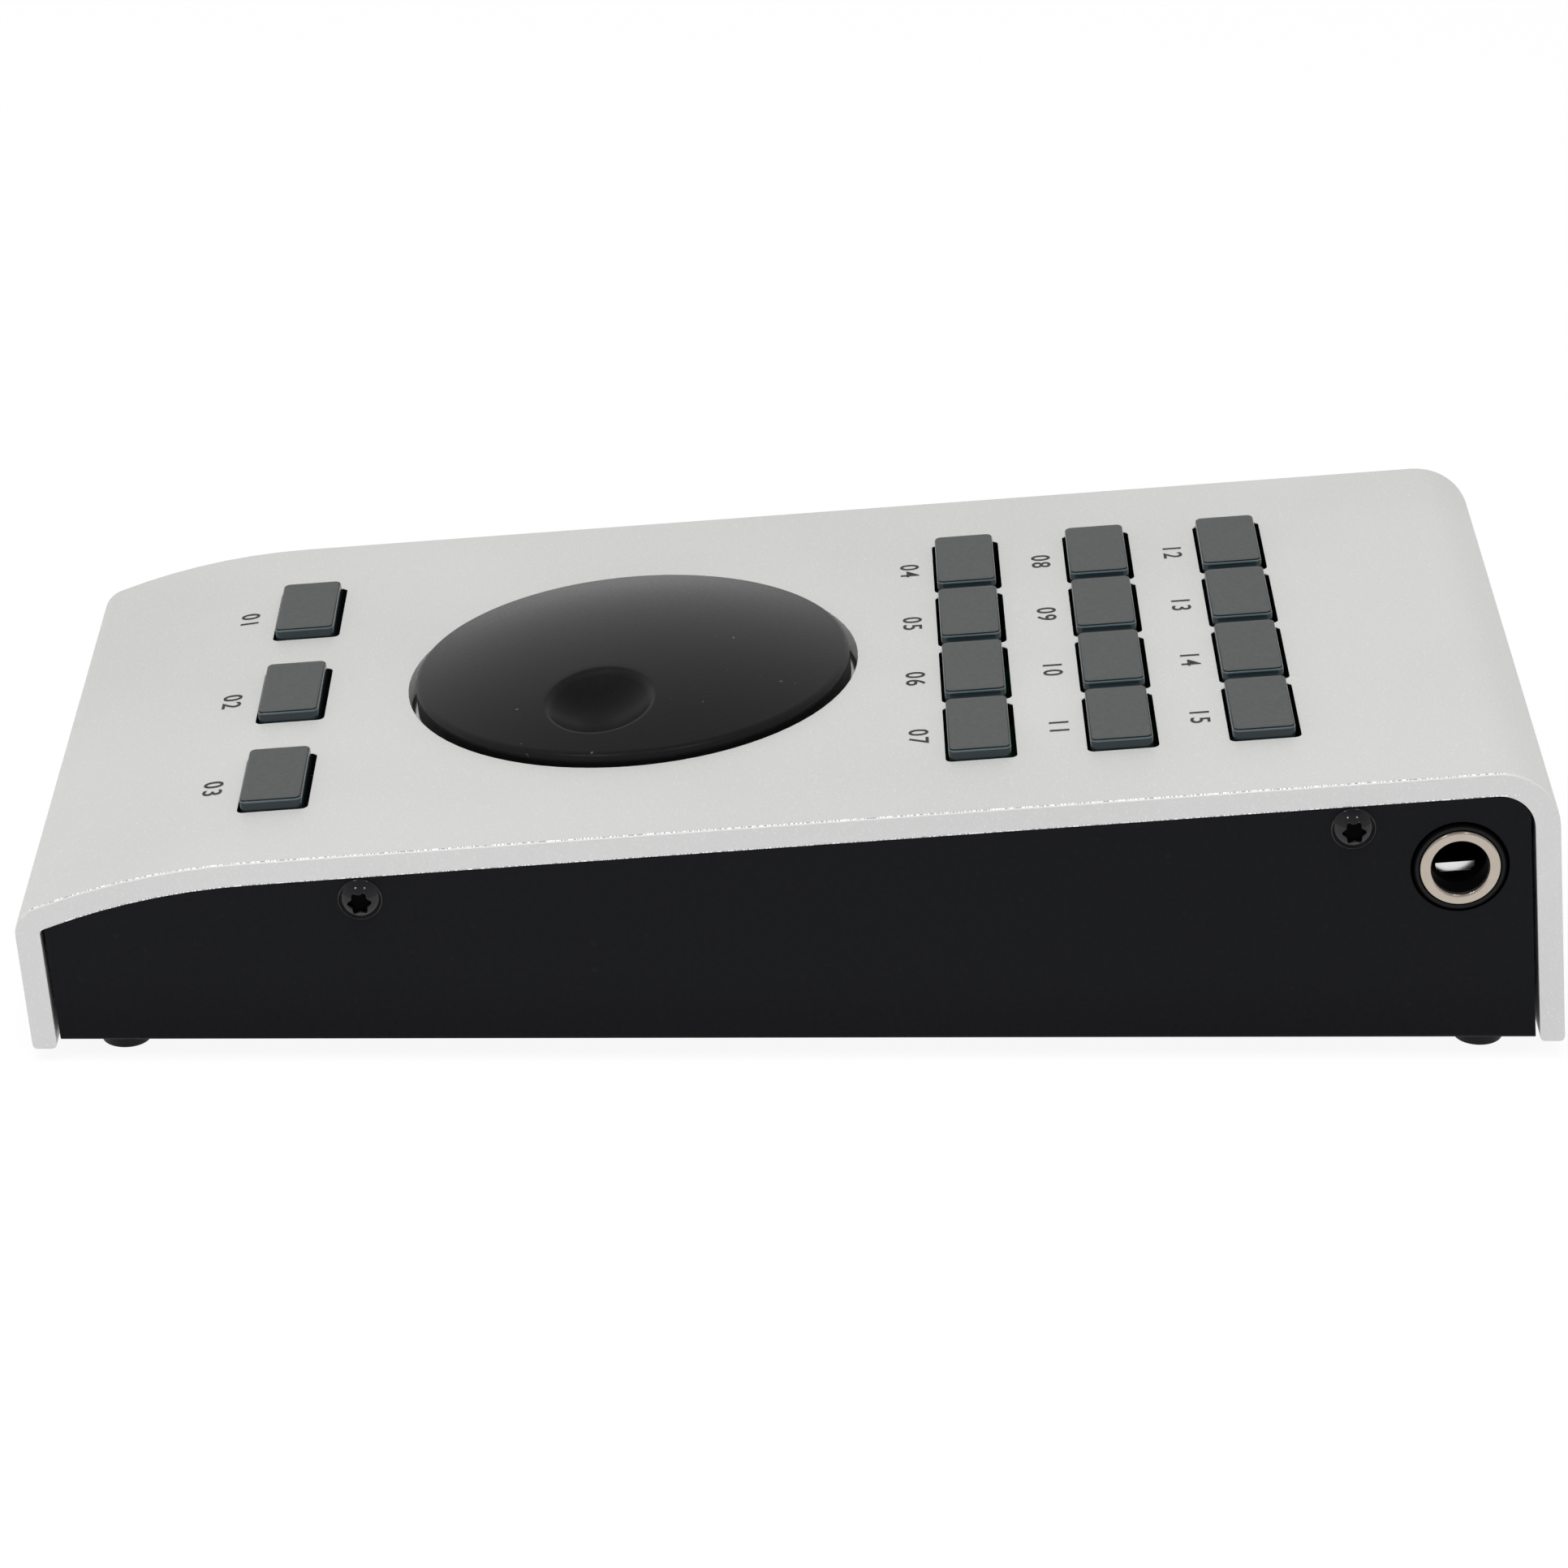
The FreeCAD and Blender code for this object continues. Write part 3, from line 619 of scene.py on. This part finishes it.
# Key caps
def key_cap(number, x, v):
    """A box with soft edges, on its own key's body."""
    shell = Shell()

    def level(inset, corner, n):
        size_x, size_v = (size - 2 * inset for size in KEY_SIZE)
        shell.loop(rounded_loop(x, v, size_x, size_v, corner, n))

    level(0, KEY_CORNER_R, KEY_FOOT_N)
    level(0, KEY_CORNER_R, KEY_WAIST_N)
    for i in range(KEY_TOP_STEPS + 1):
        a = math.pi / 2 * i / KEY_TOP_STEPS
        inset = KEY_TOP_R * (1 - math.cos(a))
        level(inset, KEY_CORNER_R - inset * 0.9, KEY_PROUD - KEY_TOP_R * (1 - math.sin(a)))
    level(KEY_FLAT_INSET, KEY_FLAT_CORNER_R, KEY_PROUD)
    shell.close_ends()
    place("cap_%02d" % number, shell.verts, shell.faces, key_mat, "key_%02d" % number,
          angle=40, replaces=["key_cap_%02d" % number])


for number, (x, v) in enumerate(key_places(), 1):
    key_cap(number, x, v + KEY_SHIFT_V)


# Dial
def dial_piece():
    """Rings from the bottom of the dimple to the rim, down the skirt and back under."""
    dome_r = DIAL_R ** 2 / (2 * DIAL_DOME) + DIAL_DOME / 2
    dome_n = DIAL_RIM_N + DIAL_DOME - dome_r
    ball_r = (DIMPLE_R ** 2 + DIMPLE_DEPTH ** 2) / (2 * DIMPLE_DEPTH)
    ball_up = math.sqrt(ball_r ** 2 - DIMPLE_R ** 2)
    turns = full_turn(DIAL_AROUND)
    shell = Shell()

    def dome(x, v):
        return dome_n + math.sqrt(dome_r ** 2 - x * x - v * v)

    def dome_ring(centre_x, centre_v, r, sink=0.0):
        """A ring on the dome, or sunk under it."""
        points = []
        for t in turns:
            x, v = centre_x + r * math.cos(t), centre_v + r * math.sin(t)
            points.append((x, DIAL_V + v, dome(x, v) - sink))
        shell.loop(points)

    def level_ring(r, n):
        shell.loop([(r * math.cos(t), DIAL_V + r * math.sin(t), n) for t in turns])

    for i in range(1, DIMPLE_RINGS + 1):
        r = DIMPLE_R * i / (DIMPLE_RINGS + 1)
        dome_ring(*DIMPLE, r, math.sqrt(ball_r ** 2 - r * r) - ball_up)
        if i == 1:
            shell.start_from((DIMPLE[0], DIAL_V + DIMPLE[1], dome(*DIMPLE) - DIMPLE_DEPTH))
    for i in range(LIP_RINGS + 1):
        s = i / LIP_RINGS
        sink = DIMPLE_R / ball_up * DIMPLE_LIP * (1 - s) ** 2
        dome_ring(*DIMPLE, DIMPLE_R - DIMPLE_LIP + 2 * DIMPLE_LIP * s, sink)
    inner_r = DIMPLE_R + DIMPLE_LIP
    outer_r = DIAL_R - DIAL_EDGE_R
    for i in range(1, DOME_RINGS + 1):
        s = i / DOME_RINGS
        dome_ring(DIMPLE[0] * (1 - s), DIMPLE[1] * (1 - s), inner_r + (outer_r - inner_r) * s)
    lean = math.asin(outer_r / dome_r)
    for i in range(1, EDGE_RINGS + 1):
        a = lean + (math.pi / 2 - lean) * i / EDGE_RINGS
        level_ring(outer_r + DIAL_EDGE_R * (math.sin(a) - math.sin(lean)) / (1 - math.sin(lean)),
                   dome(outer_r, 0) - DIAL_EDGE_R * (math.cos(lean) - math.cos(a)))
    level_ring(DIAL_R, DIAL_SKIRT_N)
    level_ring(DIAL_R, DIAL_FOOT_N + DIAL_SOFTEN)
    level_ring(DIAL_R - DIAL_SOFTEN, DIAL_FOOT_N)
    level_ring(DIAL_R - DIAL_WALL + DIAL_SOFTEN, DIAL_FOOT_N)
    level_ring(DIAL_R - DIAL_WALL, DIAL_FOOT_N + DIAL_SOFTEN)
    level_ring(DIAL_R - DIAL_WALL, DIAL_ROOF_N)
    level_ring(DIAL_BOSS_R, DIAL_ROOF_N)
    shell.close_end()
    place("dial_shell", shell.verts, shell.faces, dial_mat, "dial",
          angle=50, replaces=["dial"])


dial_piece()


# Side screws
def side_screw(name, side, v):
    """A domed head with a six-lobed socket; side is 1 on the right and -1 on the left."""
    ball_r = (SCREW_HEAD_R ** 2 + SCREW_HEAD_T ** 2) / (2 * SCREW_HEAD_T)
    shell = Shell()

    def dome(r):
        return SCREW_HEAD_T - ball_r + math.sqrt(ball_r ** 2 - r * r)

    def star(t):
        return SOCKET_R + SOCKET_LOBE * math.cos(SOCKET_LOBES * t)

    def ring(radius, out):
        """One ring. radius is a function of the angle, and out one of the radius."""
        points = []
        for t in full_turn(SCREW_AROUND):
            r = radius(t)
            points.append((side * (PANEL_X + out(r)), v + side * r * math.cos(t),
                           SCREW_N + r * math.sin(t)))
        shell.loop(points)

    def plain_ring(r, out):
        ring(lambda t: r, lambda r: out)

    for r, out in SCREW_FOOT:
        plain_ring(r, out)
    for i in range(1, SCREW_RINGS + 1):
        s = i / SCREW_RINGS
        ring(lambda t: SCREW_HEAD_R * (1 - s) + (star(t) + SOCKET_LIP) * s,
             lambda r: max(dome(r), SCREW_DOME_LOW))
    ring(star, lambda r: dome(SOCKET_RIM_R) - SOCKET_LIP_DROP)
    ring(lambda t: star(t) - SOCKET_TAPER, lambda r: SOCKET_FLOOR)
    plain_ring(SOCKET_CONE_R, SOCKET_CONE_FLOOR)
    shell.close_ends()
    if side < 0:
        shell.faces = [tuple(reversed(f)) for f in shell.faces]
    return place(name, shell.verts, shell.faces, screw_mat, "case", angle=35)


screws = []
for side, word in ((1, "right"), (-1, "left")):
    for v, end in zip(SCREW_V, ("front", "rear")):
        screws.append(side_screw("side_screw_%s_%s" % (word, end), side, v))
for screw in screws:
    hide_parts("side_screws")


# Jack ferrule
def ferrule():
    """A turned nickel ring with a round outer edge and a flared mouth."""
    back_x = FERRULE_X - FERRULE_L
    outline = [(FERRULE_R, back_x), (FERRULE_R, FERRULE_X - FERRULE_EDGE_R)]
    quarter = [math.pi / 2 * i / FERRULE_STEPS for i in range(1, FERRULE_STEPS + 1)]
    for a in quarter:
        outline.append((FERRULE_R - FERRULE_EDGE_R * (1 - math.cos(a)),
                        FERRULE_X - FERRULE_EDGE_R * (1 - math.sin(a))))
    outline.append((FERRULE_BORE_R + MOUTH_FLARE, FERRULE_X))
    for a in quarter:
        outline.append((FERRULE_BORE_R + MOUTH_FLARE * (1 - math.sin(a)),
                        FERRULE_X - MOUTH_DEPTH * (1 - math.cos(a))))
    outline.append((FERRULE_BORE_R, back_x))
    shell = Shell()
    for r, x in outline:
        shell.loop([(x, JACK_V + r * math.cos(t), JACK_N + r * math.sin(t))
                    for t in full_turn(FERRULE_AROUND)])
    shell.close_ring()
    place("ferrule_ring", shell.verts, shell.faces, nickel_mat, "case",
          angle=35, replaces=["jack_ferrule"])


ferrule()


# Plate print: plain numbers in front of the keys, a hair above the plate
def printed(number, x, v):
    name, word = "number_%02d" % number, "%02d" % number
    curve = bpy.data.curves.new(name, "FONT")
    curve.body = word
    curve.size = PRINT_SIZE
    curve.offset = PRINT_OFFSET
    curve.space_character = PRINT_SPACING
    curve.align_x = "CENTER"
    curve.align_y = "CENTER"
    text = bpy.data.objects.new(name + "_text", curve)
    bpy.context.scene.collection.objects.link(text)
    bpy.context.view_layer.update()
    graph = bpy.context.evaluated_depsgraph_get()
    flat = bpy.data.meshes.new_from_object(text.evaluated_get(graph))
    bpy.data.objects.remove(text)
    verts = []
    for p in flat.vertices:
        pv = v + p.co.y
        ahead = min(pv - CURVE_V, 0.0)
        drop = CURVE_R - math.sqrt(CURVE_R ** 2 - ahead ** 2)
        verts.append((x + p.co.x * PRINT_STRETCH, pv, PRINT_N - drop))
    faces = [tuple(f.vertices) for f in flat.polygons]
    bpy.data.meshes.remove(flat)
    place(name, verts, faces, print_mat, "case", angle=30)


for number, (x, v) in enumerate(key_places(), 1):
    printed(number, x, v - (FRONT_PRINT_GAP if v == FRONT_KEY_V else ROW_PRINT_GAP))


# Camera
def camera():
    data = bpy.data.cameras.new("photo_camera")
    data.sensor_width = SENSOR
    data.lens = LENS
    data.clip_start = 0.05
    data.clip_end = 20
    obj = bpy.data.objects.new("photo_camera", data)
    bpy.context.scene.collection.objects.link(obj)
    yaw, pitch, roll = math.radians(YAW), math.radians(PITCH), math.radians(ROLL)
    turn = Matrix.Rotation(yaw, 3, "Z")
    forward, right, up = turn @ Vector((-1, 0, 0)), turn @ Vector((0, 1, 0)), Vector(UP)
    look = forward * math.cos(pitch) - up * math.sin(pitch)
    rise = forward * math.sin(pitch) + up * math.cos(pitch)
    side = right * math.cos(roll) + rise * math.sin(roll)
    rise = rise * math.cos(roll) - right * math.sin(roll)
    rotation = Matrix((side, rise, -look)).transposed()
    obj.matrix_world = Matrix.Translation(Vector(EYE) * MM) @ rotation.to_4x4()
    bpy.context.scene.camera = obj


camera()


# Floor, backdrop and light
def floor():
    """A white floor that keeps the object's shadow."""
    half = FLOOR_HALF
    mesh = bpy.data.meshes.new("floor")
    mesh.from_pydata([(-half, -half, 0), (half, -half, 0), (half, half, 0), (-half, half, 0)],
                     [], [(0, 1, 2, 3)])
    obj = bpy.data.objects.new("floor", mesh)
    bpy.context.scene.collection.objects.link(obj)
    m = Mat("floor_white")
    m.set(Base_Color=(0.86, 0.86, 0.86, 1), Roughness=0.9, Specular_IOR_Level=0.1)
    glow = m.add("ShaderNodeEmission", {"Color": (1, 1, 1, 1), "Strength": 1.0})
    path = m.add("ShaderNodeLightPath").outputs
    seen = m.most(path["Is Camera Ray"], path["Is Glossy Ray"], path["Is Transmission Ray"])
    mixed = m.add("ShaderNodeMixShader", {0: m.times(seen, FLOOR_GLOW), 1: m.bsdf.outputs[0],
                                          2: glow.outputs[0]})
    m.put(m.tree.nodes["Material Output"].inputs["Surface"], mixed.outputs[0])
    mesh.materials.append(m.mat)


def sky():
    """A white world that is brightest near the horizon."""
    world = bpy.data.worlds.new("studio")
    bpy.context.scene.world = world
    world.use_nodes = True
    nodes, links = world.node_tree.nodes, world.node_tree.links
    background = nodes["Background"]
    background.inputs["Color"].default_value = (1, 1, 1, 1)
    height = nodes.new("ShaderNodeSeparateXYZ")
    links.new(nodes.new("ShaderNodeTexCoord").outputs["Generated"], height.inputs[0])
    strength = nodes.new("ShaderNodeMapRange")
    links.new(height.outputs["Z"], strength.inputs["Value"])
    for socket, value in (("From Min", 0.2), ("From Max", 1.0), ("To Min", 0.59), ("To Max", 0.2)):
        strength.inputs[socket].default_value = value
    links.new(strength.outputs["Result"], background.inputs["Strength"])


def soft_box(name, position, size, power, mirrored=True):
    """A square lamp that faces the object; position and size are in metres."""
    data = bpy.data.lights.new(name, "AREA")
    data.shape = "RECTANGLE"
    data.size = data.size_y = size
    data.energy = power
    obj = bpy.data.objects.new(name, data)
    obj.location = position
    obj.visible_glossy = mirrored
    direction = Vector(LAMP_TARGET) - Vector(position)
    obj.rotation_euler = direction.to_track_quat("-Z", "Y").to_euler()
    bpy.context.scene.collection.objects.link(obj)


floor()
sky()
soft_box("key_light", (0.42, -0.08, 1.32), 1.0, 21.8, mirrored=False)
soft_box("fill_left", (0.8, -0.5, 1.0), 0.15, 1.0)
soft_box("fill_right", (0.8, 0.4, 1.0), 0.13, 0.7)
bpy.context.scene.view_settings.view_transform = "Standard"
